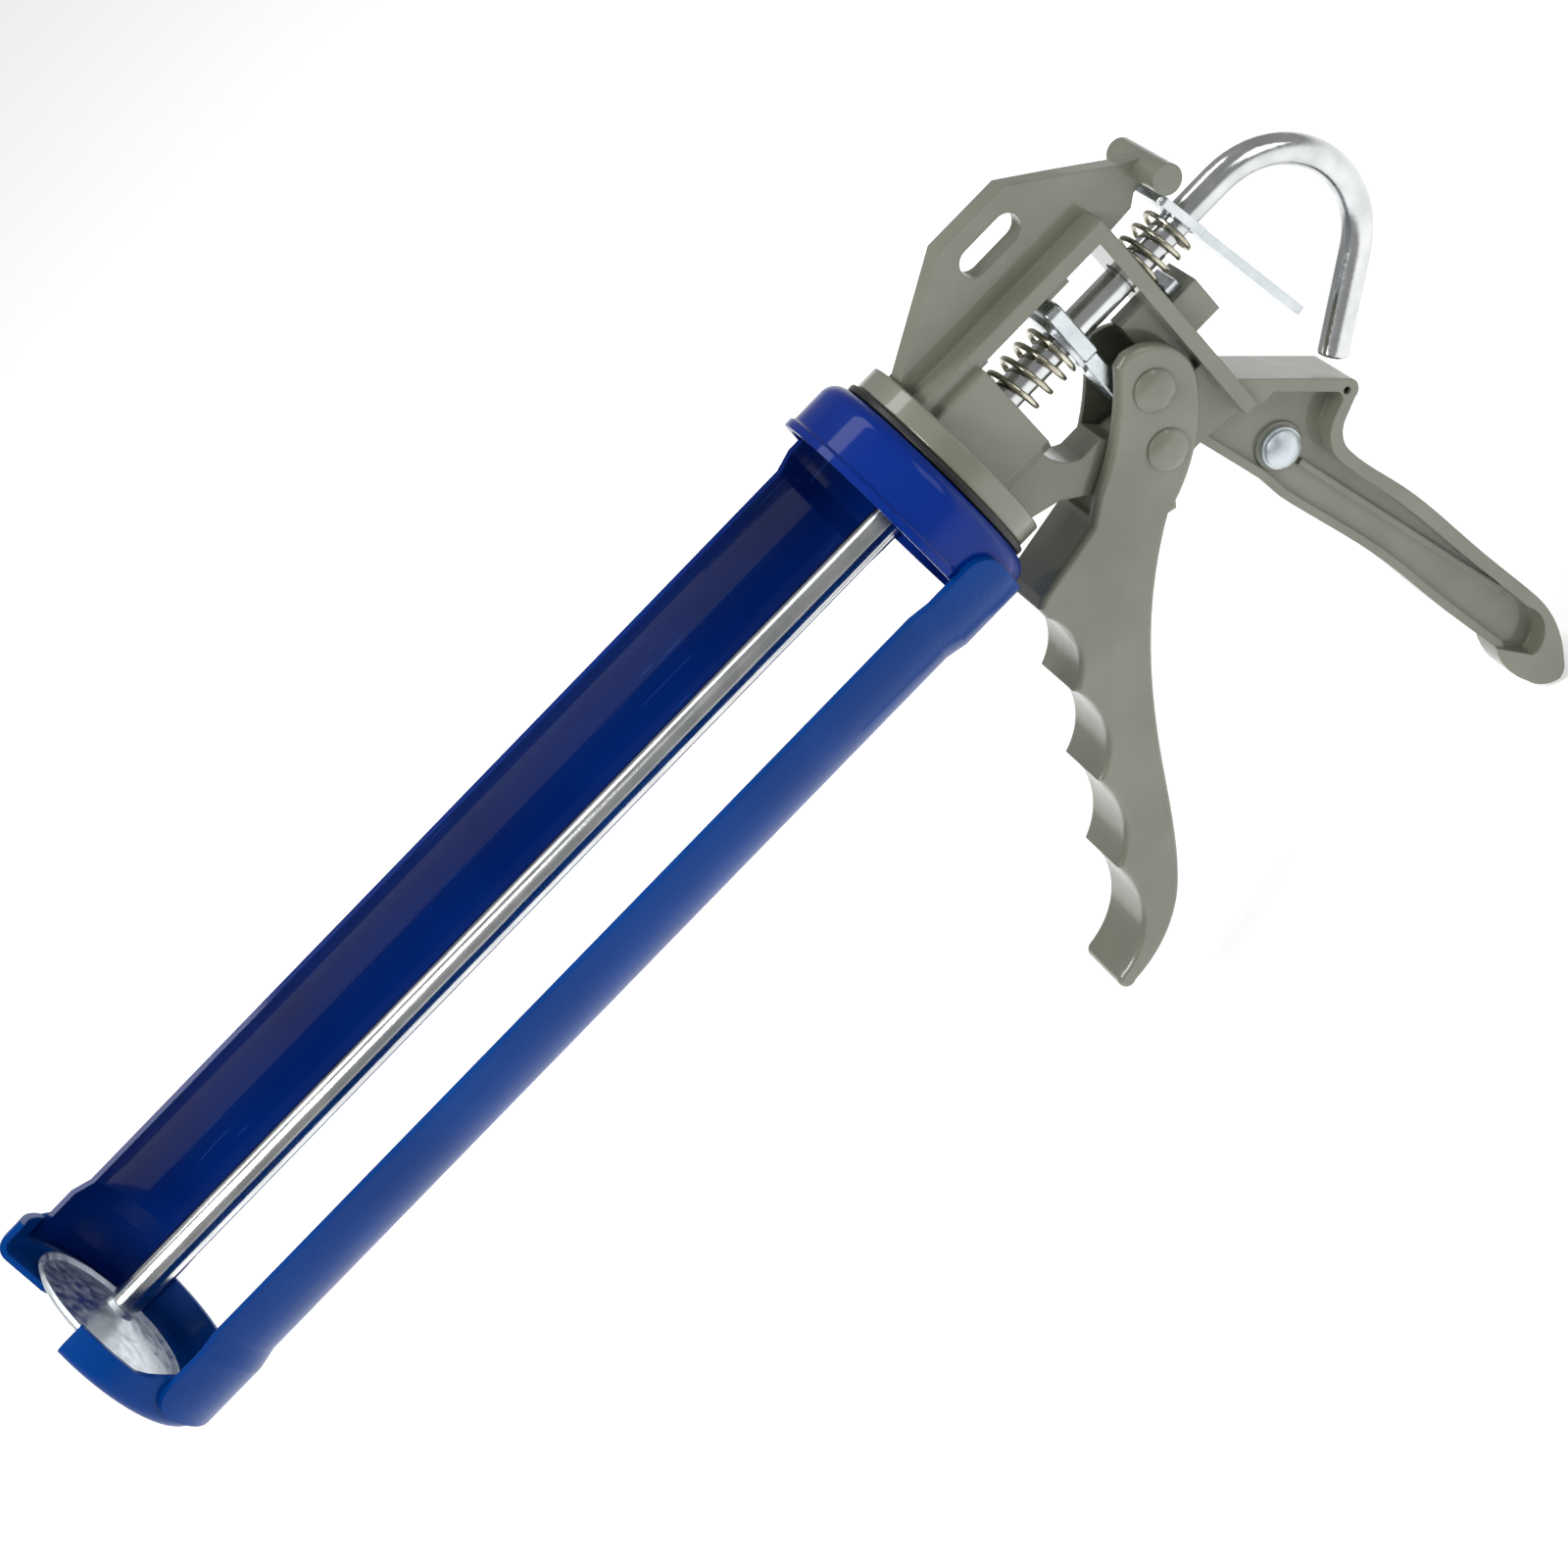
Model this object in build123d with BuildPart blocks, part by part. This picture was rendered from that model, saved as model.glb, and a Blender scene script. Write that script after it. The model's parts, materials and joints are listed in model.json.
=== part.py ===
from build123d import *
from math import cos, radians, sin, sqrt, tan
import os

# Skeleton caulking gun with a cradle that turns about the push rod.
# Row frame: +X rearward along the push rod, +Z up, origin at the middle of the hand grip.
# Gun frame, used for every outline: x rearward from the collar's front rim, y up from the rod's axis.

# ---------------------------------------------------------------- driving sizes, in mm and degrees

GRIP_BACK = 83.0            # grip centre behind the collar's front rim
GRIP_DROP = 100.0           # grip centre below the rod's axis

ROD_D = 7.2
ROD_GUIDE_GAP = 0.08        # radial running clearance in the frame's guide bore
ROD_FREE_GAP = 0.7          # radial clearance where the rod only passes through
ROD_TIP_D = 4.6
TURN_GAP = 0.05             # radial running clearance of parts that turn on each other
FACE_GAP = 0.12             # axial clearance between faces that slide on each other

SHEET = 1.5                 # cradle pressings
SHELL_SHEET = 1.2           # trough
RAIL_SHEET = 1.8
CRADLE_R = 29.0             # outside of the collar and of the nose
CARTRIDGE_R = 24.8          # inside of the trough
CRADLE_LENGTH = 245.0       # collar's front rim to the nose's front face
COLLAR_DEPTH = 14.4
COLLAR_CORNER = 4.0
LIP_STEP = 0.7
LIP_LENGTH = 1.8
NOSE_DEPTH = 14.0
NOSE_MOUTH_DEPTH = 8.4      # height of the nose's wall on its open side
NOSE_CORNER = 3.6
JOGGLE = 5.0                # length of a step between two radii
TROUGH_HALF_ARC = 39.0
TROUGH_ANGLE = -2.0         # cradle angles: 0 is +Y, 90 is up, 180 is -Y
RAIL_HALF_ARC = 26.5
RAIL_ANGLE = 213.0
RAIL_R = 29.8               # outside of the rail between its tabs
RAIL_TAB = 16.5
RAIL_CORNER = 6.0
SLOT_ANGLE = 104.5          # way the nozzle slot opens
SLOT_WIDTH = 18.0
SLOT_FLARE_START = 12.0     # where the slot begins to widen, from the rod's axis
SLOT_FLARE_R = 22.0         # where it reaches the width of the mouth
SLOT_MOUTH_ARC = 36.5       # half the angle of the mouth in the nose's wall

RING_T = 1.78
RING_R = 25.3
FLANGE_R = 24.3
FLANGE_T = 5.7
SPIGOT_R = 9.0
SPIGOT_LENGTH = 8.4         # from the flange forward
WASHER_R = 14.0
WASHER_T = 1.2
CLIP_R = 11.0
CLIP_T = 1.1
CLIP_GROOVE = 0.8
CLIP_GAP_ANGLE = 40.0

BOSS_LENGTH = 14.3
BOSS_HALF_W = 11.5
BOSS_TOP = 15.2
BOSS_BOTTOM = -12.5
BOSS_CHAMFER = 4.5
SPRING_SEAT_R = 7.6
SPRING_SEAT_DEPTH = 2.0
BEAM_TOP = 19.0
BEAM_T = 3.8
BEAM_HALF_W = 9.0
BEAM_STOP = 1.9             # lug under the beam that stops the drive plate's top
WEB_T = 4.8
HANG_X, HANG_Y = 55.6, 30.0
HANG_SLOT_LENGTH = 16.4
HANG_SLOT_WIDTH = 6.9
WALL_X = 72.0               # front face of the rear wall
WALL_T = 3.5
WALL_FOOT = -42.0
HOOK_BAR_X, HOOK_BAR_Y = 91.0, 15.3
HOOK_BAR_R = 3.5
HOOK_BAR_W = 21.0
ARM_DROP = 7.5              # depth of the arm below the beam's top, behind the wall
LUG_TOP, LUG_BOTTOM = -9.8, -19.3
LUG_LENGTH = 7.5
LUG_HALF_W = 6.0
STOP_W, STOP_L, STOP_H = 8.0, 3.4, 2.7
STRUT_T = 10.0
STRUT_TOP = -21.6
PIVOT_EYE_R = 8.0
MID_WEB_X = 64.8            # front edge of the web in front of the rear wall
MID_WEB_TOP = -7.0

HANDLE_HALF_W = 8.0
HANDLE_RIM = 2.2            # width of the raised front edge
HANDLE_WEB_T = 5.0
HANDLE_RIB_W = 1.6
HANDLE_PIN_X, HANDLE_PIN_Y = 73.8, -58.2
HANDLE_PIN_D = 5.0
HANDLE_PIN_HEAD_R = 4.4
HANDLE_PIN_SEAT_R = 5.8
LANYARD_HOLE_D = 1.8

PIVOT_X, PIVOT_Y = 54.2, -33.3
PUSH_X, PUSH_Y = 60.4, -20.0
PIN_D = 6.0
PIN_HEAD_R = 4.9
PIN_HEAD_H = 1.9
CHEEK_OUT = 9.0             # outer face of each trigger cheek, from the middle
CHEEK_T = 2.7
FRONT_WALL = 3.4
TRIGGER_EDGE = 1.5          # rounding of the cheeks' outer edges

RETURN_SPRING_R = 6.8
RETURN_WIRE = 1.4
RETURN_TURNS = 4.0
DRIVE_GAP = 0.1             # between the drive plate and the pin that pushes it
DRIVE_T = 4.0
DRIVE_HALF_W = 9.0
DRIVE_TOP = 12.2
DRIVE_SHOULDER = -3.8
TONGUE_HALF_W = 5.0
TONGUE_BOTTOM = -20.2
DRIVE_WASHER_R = 8.6
DRIVE_WASHER_T = 1.0
CATCH_TILT = 10.0
CATCH_T = 2.1
CATCH_TOP = 12.0
CATCH_GAP = 0.35            # between the release plate's top and the hook bar
CATCH_LENGTH = 48.4
CATCH_HALF_W = 9.0
CATCH_TAB_HALF_W = 6.0
CATCH_TAB_START = 14.4
CATCH_SPRING_R = 6.4
CATCH_WIRE = 1.2
CATCH_TURNS = 3.5

DISC_R = 20.0
DISC_T = 1.2
DISC_X = -239.4             # rear edge of the disc's rim at rest
HUB_R = 3.3
HUB_LENGTH = 3.4
HUB_NECK = 3.2              # from the hub's rear face to the disc's rear face at the centre
ROD_HEAD_R = 3.9
ROD_HEAD_H = 1.3
PLUNGER_WASHER_R = 7.2
PLUNGER_WASHER_T = 1.2
HOOK_START = 100.8          # where the rod's bend begins
HOOK_BEND_R = 21.6
HOOK_TURN = 140.0
HOOK_LEG = 24.0

# ---------------------------------------------------------------- planes and helpers

AXIS_POINT = (-GRIP_BACK, 0, GRIP_DROP)
ROD_AXIS = Axis(AXIS_POINT, (1, 0, 0))


def side(w=0.0):
    """The gun frame's plane, w nearer the user's left hand (-Y)."""
    return Plane(origin=(-GRIP_BACK, -w, GRIP_DROP), x_dir=(1, 0, 0), z_dir=(0, -1, 0))


def across(x):
    """A plane square to the rod at x: local x is +Y, local y is up."""
    return Plane(origin=(x - GRIP_BACK, 0, GRIP_DROP), x_dir=(0, 1, 0), z_dir=(1, 0, 0))


def radial(angle):
    """A half plane through the rod's axis: local x runs rearward, local y outward at this angle."""
    a = radians(angle)
    return Plane(origin=AXIS_POINT, x_dir=(1, 0, 0), z_dir=(0, -sin(a), cos(a)))


def save(part, name):
    """Label a finished part and write it as its own file."""
    part.label = name
    export_step(part, f"parts/{name}.step")


os.makedirs("parts", exist_ok=True)

# ---------------------------------------------------------------- cradle

COLLAR_IN = CRADLE_R - SHEET
WALL_IN = COLLAR_DEPTH - SHEET          # front face of the collar's back wall
LIP_ARC = 360 - 2 * RAIL_HALF_ARC - 6   # the rim's lip stops short of the rail

with BuildPart() as collar:
    with BuildSketch(side()):
        with BuildLine():
            Polyline((0, COLLAR_IN), (0, CRADLE_R), (COLLAR_DEPTH - COLLAR_CORNER, CRADLE_R))
            RadiusArc((COLLAR_DEPTH - COLLAR_CORNER, CRADLE_R),
                      (COLLAR_DEPTH, CRADLE_R - COLLAR_CORNER), COLLAR_CORNER)
            Polyline((COLLAR_DEPTH, CRADLE_R - COLLAR_CORNER), (COLLAR_DEPTH, SPIGOT_R + TURN_GAP),
                     (WALL_IN, SPIGOT_R + TURN_GAP), (WALL_IN, CRADLE_R - COLLAR_CORNER))
            RadiusArc((WALL_IN, CRADLE_R - COLLAR_CORNER),
                      (COLLAR_DEPTH - COLLAR_CORNER, COLLAR_IN), -(COLLAR_CORNER - SHEET))
            Line((COLLAR_DEPTH - COLLAR_CORNER, COLLAR_IN), (0, COLLAR_IN))
        make_face()
    revolve(axis=ROD_AXIS)
    with BuildSketch(radial(RAIL_ANGLE + RAIL_HALF_ARC + 3)):
        with BuildLine():
            Polyline((0, COLLAR_IN), (0, CRADLE_R + LIP_STEP), (LIP_LENGTH, CRADLE_R + LIP_STEP),
                     (LIP_LENGTH + LIP_STEP, CRADLE_R), (LIP_LENGTH + LIP_STEP, COLLAR_IN), (0, COLLAR_IN))
        make_face()
    revolve(axis=ROD_AXIS, revolution_arc=LIP_ARC)
save(collar.part, "cradle_collar")

NOSE_BACK = NOSE_DEPTH - CRADLE_LENGTH          # rear rim of the nose's wall
MOUTH_BACK = NOSE_MOUTH_DEPTH - CRADLE_LENGTH
NOSE_IN_X = SHEET - CRADLE_LENGTH
MOUTH_COS = cos(radians(SLOT_MOUTH_ARC))
MOUTH_SIN = sin(radians(SLOT_MOUTH_ARC))

with BuildPart() as nose:
    with BuildSketch(side()):
        with BuildLine():
            Polyline((-CRADLE_LENGTH, 0), (-CRADLE_LENGTH, CRADLE_R - NOSE_CORNER))
            RadiusArc((-CRADLE_LENGTH, CRADLE_R - NOSE_CORNER),
                      (NOSE_CORNER - CRADLE_LENGTH, CRADLE_R), NOSE_CORNER)
            Polyline((NOSE_CORNER - CRADLE_LENGTH, CRADLE_R), (NOSE_BACK, CRADLE_R),
                     (NOSE_BACK, COLLAR_IN), (NOSE_CORNER - CRADLE_LENGTH, COLLAR_IN))
            RadiusArc((NOSE_CORNER - CRADLE_LENGTH, COLLAR_IN),
                      (NOSE_IN_X, CRADLE_R - NOSE_CORNER), -(NOSE_CORNER - SHEET))
            Polyline((NOSE_IN_X, CRADLE_R - NOSE_CORNER), (NOSE_IN_X, 0), (-CRADLE_LENGTH, 0))
        make_face()
    revolve(axis=ROD_AXIS)
    # nozzle slot: round at the axis, open towards the loading side and wider at its mouth
    with BuildSketch(across(-CRADLE_LENGTH - 1)):
        Circle(SLOT_WIDTH / 2)
        with Locations(Rot(Z=SLOT_ANGLE) * Pos(CRADLE_R, 0)):
            Rectangle(2 * CRADLE_R, SLOT_WIDTH)
        with Locations(Rot(Z=SLOT_ANGLE)):
            Polygon((SLOT_FLARE_START, -SLOT_WIDTH / 2), (MOUTH_COS * SLOT_FLARE_R, -MOUTH_SIN * SLOT_FLARE_R),
                    (MOUTH_COS * 2 * CRADLE_R, -MOUTH_SIN * 2 * CRADLE_R),
                    (MOUTH_COS * 2 * CRADLE_R, MOUTH_SIN * 2 * CRADLE_R),
                    (MOUTH_COS * SLOT_FLARE_R, MOUTH_SIN * SLOT_FLARE_R), (SLOT_FLARE_START, SLOT_WIDTH / 2),
                    align=None)
    extrude(amount=NOSE_DEPTH + 2, mode=Mode.SUBTRACT)
    # the wall is lower towards the loading side, with a sloping shoulder on each flank
    with BuildSketch(radial(SLOT_ANGLE)):
        with BuildLine():
            Polyline((NOSE_BACK + 1, 1), (NOSE_BACK, 1), (NOSE_BACK - 1.2, 2.0), (MOUTH_BACK + 1.0, 8.0),
                     (MOUTH_BACK, 10.5), (MOUTH_BACK, CRADLE_R + 5), (NOSE_BACK + 1, CRADLE_R + 5),
                     (NOSE_BACK + 1, 1))
        make_face()
    extrude(amount=CRADLE_R + 5, both=True, mode=Mode.SUBTRACT)
save(nose.part, "cradle_nose")


def pressed_strip(start_angle, half_arc, stations, sheet):
    """A strip bent about the rod's axis: stations are (x, outer radius) from rear to front."""
    outer = list(stations)
    inner = [(x, r - sheet) for x, r in reversed(outer)]
    with BuildPart() as strip:
        with BuildSketch(radial(start_angle)):
            with BuildLine():
                Polyline(*outer, *inner, outer[0])
            make_face()
        revolve(axis=ROD_AXIS, revolution_arc=2 * half_arc)
    return strip


TROUGH_R = CARTRIDGE_R + SHELL_SHEET
TROUGH_REAR = COLLAR_DEPTH - COLLAR_CORNER - 1.0
TROUGH_FRONT = NOSE_CORNER - CRADLE_LENGTH + 0.4
TROUGH_LAND = 3.0                       # flat length outside the collar and the nose
trough = pressed_strip(
    TROUGH_ANGLE - TROUGH_HALF_ARC, TROUGH_HALF_ARC,
    [(TROUGH_REAR, COLLAR_IN), (-TROUGH_LAND, COLLAR_IN), (-TROUGH_LAND - JOGGLE, TROUGH_R),
     (NOSE_BACK + TROUGH_LAND + JOGGLE, TROUGH_R), (NOSE_BACK + TROUGH_LAND, COLLAR_IN),
     (TROUGH_FRONT, COLLAR_IN)],
    SHELL_SHEET)
save(trough.part, "cradle_trough")

RAIL_TAB_R = CRADLE_R + RAIL_SHEET
RAIL_REAR = COLLAR_DEPTH - COLLAR_CORNER - 0.4
RAIL_FRONT = NOSE_CORNER - CRADLE_LENGTH + 0.4
rail = pressed_strip(
    RAIL_ANGLE - RAIL_HALF_ARC, RAIL_HALF_ARC,
    [(RAIL_REAR, RAIL_TAB_R), (RAIL_REAR - RAIL_TAB, RAIL_TAB_R), (RAIL_REAR - RAIL_TAB - JOGGLE, RAIL_R),
     (RAIL_FRONT + RAIL_TAB + JOGGLE, RAIL_R), (RAIL_FRONT + RAIL_TAB, RAIL_TAB_R), (RAIL_FRONT, RAIL_TAB_R)],
    RAIL_SHEET)
with rail:
    fillet(rail.edges().filter_by(lambda edge: abs(edge.length - RAIL_SHEET) < 0.01), RAIL_CORNER)
save(rail.part, "cradle_rail")

# ---------------------------------------------------------------- swivel

RING_X = COLLAR_DEPTH + FACE_GAP
FLANGE_X = RING_X + RING_T
FLANGE_BACK = FLANGE_X + FLANGE_T
SPIGOT_X = FLANGE_X - SPIGOT_LENGTH
WASHER_X = WALL_IN - FACE_GAP - WASHER_T
CLIP_X = WASHER_X - CLIP_T
GROOVE_R = SPIGOT_R - CLIP_GROOVE

with BuildPart() as friction_ring:
    with BuildSketch(across(RING_X)):
        Circle(RING_R)
        Circle(SPIGOT_R, mode=Mode.SUBTRACT)
    extrude(amount=RING_T)
    fillet(friction_ring.edges().filter_by(GeomType.CIRCLE).sort_by(SortBy.LENGTH)[-2:], RING_T * 0.3)
save(friction_ring.part, "friction_ring")

with BuildPart() as thrust_washer:
    with BuildSketch(across(WASHER_X)):
        Circle(WASHER_R)
        Circle(SPIGOT_R, mode=Mode.SUBTRACT)
    extrude(amount=WASHER_T)
save(thrust_washer.part, "thrust_washer")

with BuildPart() as retaining_ring:
    with BuildSketch(across(CLIP_X)):
        Circle(CLIP_R)
        with PolarLocations(CLIP_R + 0.6, 2, start_angle=90 - CLIP_GAP_ANGLE, angular_range=CLIP_GAP_ANGLE * 4):
            Circle(1.7)
        Circle(GROOVE_R, mode=Mode.SUBTRACT)
        with BuildLine():
            Polyline((0, 0), (-2 * CLIP_R * sin(radians(20)), 2 * CLIP_R), (2 * CLIP_R * sin(radians(20)), 2 * CLIP_R),
                     (0, 0))
        make_face(mode=Mode.SUBTRACT)
    extrude(amount=CLIP_T)
save(retaining_ring.part, "retaining_ring")

# ---------------------------------------------------------------- frame casting

ROD_R = ROD_D / 2
BOSS_BACK = FLANGE_BACK + BOSS_LENGTH
WALL_BACK = WALL_X + WALL_T
BEAM_BOTTOM = BEAM_TOP - BEAM_T
PIVOT_HOLE_R = PIN_D / 2 + TURN_GAP


def web_outline():
    """Closed outline of the top web: flange, slope up, flat top, slope down, arm to the hook bar."""
    Polyline((FLANGE_BACK - 1, BEAM_TOP - 1), (FLANGE_BACK - 1, 21.6), (25.0, 24.2), (46.5, 38.0), (65.4, 37.9),
             (76.2, 29.6), (86.5, 21.4), (HOOK_BAR_X, HOOK_BAR_Y + HOOK_BAR_R), (HOOK_BAR_X, HOOK_BAR_Y - 1.2),
             (HOOK_BAR_X - HOOK_BAR_R - 2.1, HOOK_BAR_Y - 1.2),
             (HOOK_BAR_X - HOOK_BAR_R - 4.7, BEAM_TOP - ARM_DROP + 0.4), (WALL_BACK - 0.5, BEAM_TOP - ARM_DROP),
             (WALL_BACK - 0.5, BEAM_TOP - 1), (FLANGE_BACK - 1, BEAM_TOP - 1))


def handle_rear():
    """The handle's outer edge from the shelf's root over its end, down the back and round the tip."""
    Line((WALL_BACK - 0.5, -33.4), (94.6, -55.7))
    ThreePointArc((94.6, -55.7), (95.1, -58.4), (92.8, -60.2))
    Line((92.8, -60.2), (88.4, -62.4))
    ThreePointArc((88.4, -62.4), (85.1, -65.6), (84.5, -70.2))
    Spline((84.5, -70.2), (88.0, -85.6), (92.7, -117.0), (95.9, -138.0),
           tangents=[(0.1, -1), (0.12, -1)])
    ThreePointArc((95.9, -138.0), (95.2, -148.8), (91.2, -158.0))
    ThreePointArc((91.2, -158.0), (86.4, -161.0), (82.2, -157.2))
    ThreePointArc((82.2, -157.2), (80.4, -150.4), (81.6, -143.5))


def handle_front(shift=0.0):
    """The handle's front edge from the tip up to the wall's foot, moved rearward by a shift."""
    Spline((81.6 + shift, -143.5), (77.7 + shift, -121.0), (74.4 + shift, -99.0), (66.6 + shift, -67.5),
           tangents=[(-0.17, 1), (-0.22, 1)])
    Polyline((66.6 + shift, -67.5), (65.8 + shift, -60.0), (60.6 + shift, -39.4))


with BuildPart() as frame:
    # swivel flange and spigot
    with BuildSketch(across(FLANGE_X)):
        Circle(FLANGE_R)
    extrude(amount=FLANGE_T)
    fillet(frame.edges().filter_by(GeomType.CIRCLE), 0.6)
    with BuildSketch(across(SPIGOT_X)):
        Circle(SPIGOT_R)
    extrude(amount=SPIGOT_LENGTH + 1)
    # boss that guides the rod
    with BuildSketch(across(FLANGE_BACK - 0.5)):
        with BuildLine():
            Polyline((-BOSS_HALF_W, BOSS_TOP), (-BOSS_HALF_W, BOSS_BOTTOM + BOSS_CHAMFER),
                     (-BOSS_HALF_W + BOSS_CHAMFER, BOSS_BOTTOM), (BOSS_HALF_W - BOSS_CHAMFER, BOSS_BOTTOM),
                     (BOSS_HALF_W, BOSS_BOTTOM + BOSS_CHAMFER), (BOSS_HALF_W, BOSS_TOP),
                     (-BOSS_HALF_W, BOSS_TOP))
        make_face()
    extrude(amount=BOSS_LENGTH + 0.5)
    # top web
    with BuildSketch(side()):
        with BuildLine():
            web_outline()
        make_face()
    extrude(amount=WEB_T / 2, both=True)
    # beam, its stop lug and the rear wall
    with BuildSketch(side()):
        with Locations(((FLANGE_BACK - 0.5 + WALL_BACK) / 2, BEAM_TOP - BEAM_T / 2)):
            Rectangle(WALL_BACK - FLANGE_BACK + 0.5, BEAM_T)
        with Locations(((WALL_X + WALL_BACK) / 2, (BEAM_TOP + WALL_FOOT) / 2)):
            Rectangle(WALL_T, BEAM_TOP - WALL_FOOT)
    extrude(amount=BEAM_HALF_W, both=True)
    with BuildSketch(side()):
        with Locations((59.5, BEAM_BOTTOM - BEAM_STOP / 2)):
            Rectangle(5.6, BEAM_STOP)
        with Locations((BOSS_BACK - 0.5 + 1.4, BEAM_BOTTOM - 0.7)):
            Rectangle(2.8, 1.4)
    extrude(amount=BEAM_HALF_W - 1.5, both=True)
    # hook bar behind the wall's top
    with BuildSketch(side()):
        with Locations((HOOK_BAR_X, HOOK_BAR_Y)):
            Circle(HOOK_BAR_R)
    extrude(amount=HOOK_BAR_W / 2, both=True)
    # lug behind the wall
    with BuildSketch(side()):
        with Locations((WALL_BACK - 0.5 + (LUG_LENGTH + 0.5) / 2, (LUG_TOP + LUG_BOTTOM) / 2)):
            Rectangle(LUG_LENGTH + 0.5, LUG_TOP - LUG_BOTTOM)
    extrude(amount=LUG_HALF_W, both=True)
    # web in front of the wall
    with BuildSketch(side()):
        with Locations(((MID_WEB_X + WALL_X + 0.5) / 2, (MID_WEB_TOP + WALL_FOOT) / 2)):
            Rectangle(WALL_X + 0.5 - MID_WEB_X, MID_WEB_TOP - WALL_FOOT)
    extrude(amount=HANDLE_WEB_T / 2, both=True)
    # strut from the flange to the pivot eye and the wall's foot
    with BuildSketch(side()):
        with BuildLine():
            Polyline((FLANGE_BACK - 0.5, BOSS_BOTTOM + 1), (BOSS_BACK - 2, BOSS_BOTTOM + 1))
            ThreePointArc((BOSS_BACK - 2, BOSS_BOTTOM + 1), (BOSS_BACK - 0.6, -18.4), (BOSS_BACK + 3.2, STRUT_TOP))
            Polyline((BOSS_BACK + 3.2, STRUT_TOP), (45.6, STRUT_TOP), (48.4, -25.2), (61.0, -26.6),
                     (WALL_X + 0.5, -26.6), (WALL_X + 0.5, WALL_FOOT), (60.5, -41.0), (PIVOT_X, PIVOT_Y - PIVOT_EYE_R),
                     (46.5, -38.6), (30.0, -25.2), (FLANGE_BACK - 0.5, -22.6), (FLANGE_BACK - 0.5, BOSS_BOTTOM + 1))
        make_face()
    extrude(amount=STRUT_T / 2, both=True)
    # handle: web, wide shelf and back, low front rim, rib
    with BuildSketch(side()):
        with BuildLine():
            handle_rear()
            handle_front()
            Polyline((60.6, -39.4), (60.6, -33.4), (WALL_BACK - 0.5, -33.4))
        make_face()
    extrude(amount=HANDLE_WEB_T / 2, both=True)
    with BuildSketch(side()):
        with BuildLine():
            handle_rear()
            Line((81.6, -143.5), (86.6, -150.4))
            ThreePointArc((86.6, -150.4), (91.6, -148.0), (92.8, -138.6))
            Spline((92.8, -138.6), (89.5, -117.2), (84.8, -86.4), (81.3, -69.4),
                   tangents=[(-0.12, 1), (-0.1, 1)])
            ThreePointArc((81.3, -69.4), (82.3, -64.0), (86.2, -60.4))
            Line((86.2, -60.4), (89.2, -59.0))
            ThreePointArc((89.2, -59.0), (90.9, -57.2), (90.2, -55.4))
            Polyline((90.2, -55.4), (80.0, -43.6), (76.4, -43.8), (WALL_BACK - 0.5, WALL_FOOT),
                     (WALL_BACK - 0.5, -33.4))
        make_face()
    extrude(amount=HANDLE_HALF_W, both=True)
    with BuildSketch(side()):
        with BuildLine():
            handle_front()
            Line((60.6, -39.4), (60.6 + HANDLE_RIM, -39.4))
            handle_front(HANDLE_RIM)
            Polyline((81.6 + HANDLE_RIM, -143.5), (82.6, -147.5), (81.6, -143.5))
        make_face()
    extrude(amount=HANDLE_WEB_T / 2 + 1.4, both=True)
    with BuildSketch(side()):
        with Locations(Pos(83.2, -99.0) * Rot(Z=13.4)):
            Rectangle(HANDLE_RIB_W, 70.0)
    extrude(amount=HANDLE_WEB_T / 2 + 1.2, both=True)
    with BuildSketch(side()):
        with Locations((HANDLE_PIN_X, HANDLE_PIN_Y)):
            Circle(HANDLE_PIN_SEAT_R)
    extrude(amount=HANDLE_WEB_T / 2 + 0.8, both=True)
    # the handle's tip narrows towards its front
    with BuildSketch(Plane(origin=(-GRIP_BACK, 0, GRIP_DROP - 165.0), x_dir=(1, 0, 0), z_dir=(0, 0, 1))):
        for turn in (1, -1):
            Polygon((78.0, turn * 2.6), (89.0, turn * (HANDLE_HALF_W + 0.6)), (78.0, turn * (HANDLE_HALF_W + 0.6)),
                    align=None)
    extrude(amount=24.0, mode=Mode.SUBTRACT)
    # openings
    with BuildSketch(side()):
        with Locations((HANG_X, HANG_Y)):
            SlotOverall(HANG_SLOT_LENGTH, HANG_SLOT_WIDTH)
        with Locations((HANDLE_PIN_X, HANDLE_PIN_Y)):
            Circle(HANDLE_PIN_D / 2)
        with Locations((PIVOT_X, PIVOT_Y)):
            Circle(PIVOT_HOLE_R)
    extrude(amount=HOOK_BAR_W, both=True, mode=Mode.SUBTRACT)
    for face_w, depth in ((HANDLE_HALF_W, -3.0), (-HANDLE_HALF_W, 3.0)):
        with BuildSketch(side(face_w)):
            with Locations((92.4, -57.4)):
                Circle(LANYARD_HOLE_D / 2)
        extrude(amount=depth, mode=Mode.SUBTRACT)
    with BuildSketch(across(SPIGOT_X - 1)):
        Circle(ROD_R + ROD_GUIDE_GAP)
    extrude(amount=BOSS_BACK - SPIGOT_X + 2, mode=Mode.SUBTRACT)
    with BuildSketch(across(BOSS_BACK - SPRING_SEAT_DEPTH)):
        Circle(SPRING_SEAT_R)
    extrude(amount=SPRING_SEAT_DEPTH + 1, mode=Mode.SUBTRACT)
    with BuildSketch(across(WALL_X - 1)):
        Circle(ROD_R + ROD_FREE_GAP)
    extrude(amount=WALL_T + 2, mode=Mode.SUBTRACT)
    with BuildSketch(across(CLIP_X)):
        Circle(SPIGOT_R + 1)
        Circle(GROOVE_R, mode=Mode.SUBTRACT)
    extrude(amount=CLIP_T, mode=Mode.SUBTRACT)
save(frame.part, "frame_body")

with BuildPart() as catch_stop:
    with BuildSketch(side()):
        with Locations((WALL_BACK + STOP_L / 2 + 1.2, LUG_TOP + STOP_H / 2)):
            Rectangle(STOP_L, STOP_H)
    extrude(amount=STOP_W / 2, both=True)
    chamfer(catch_stop.edges().group_by(Axis.Z)[-1], 0.5)
save(catch_stop.part, "catch_stop")

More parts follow.
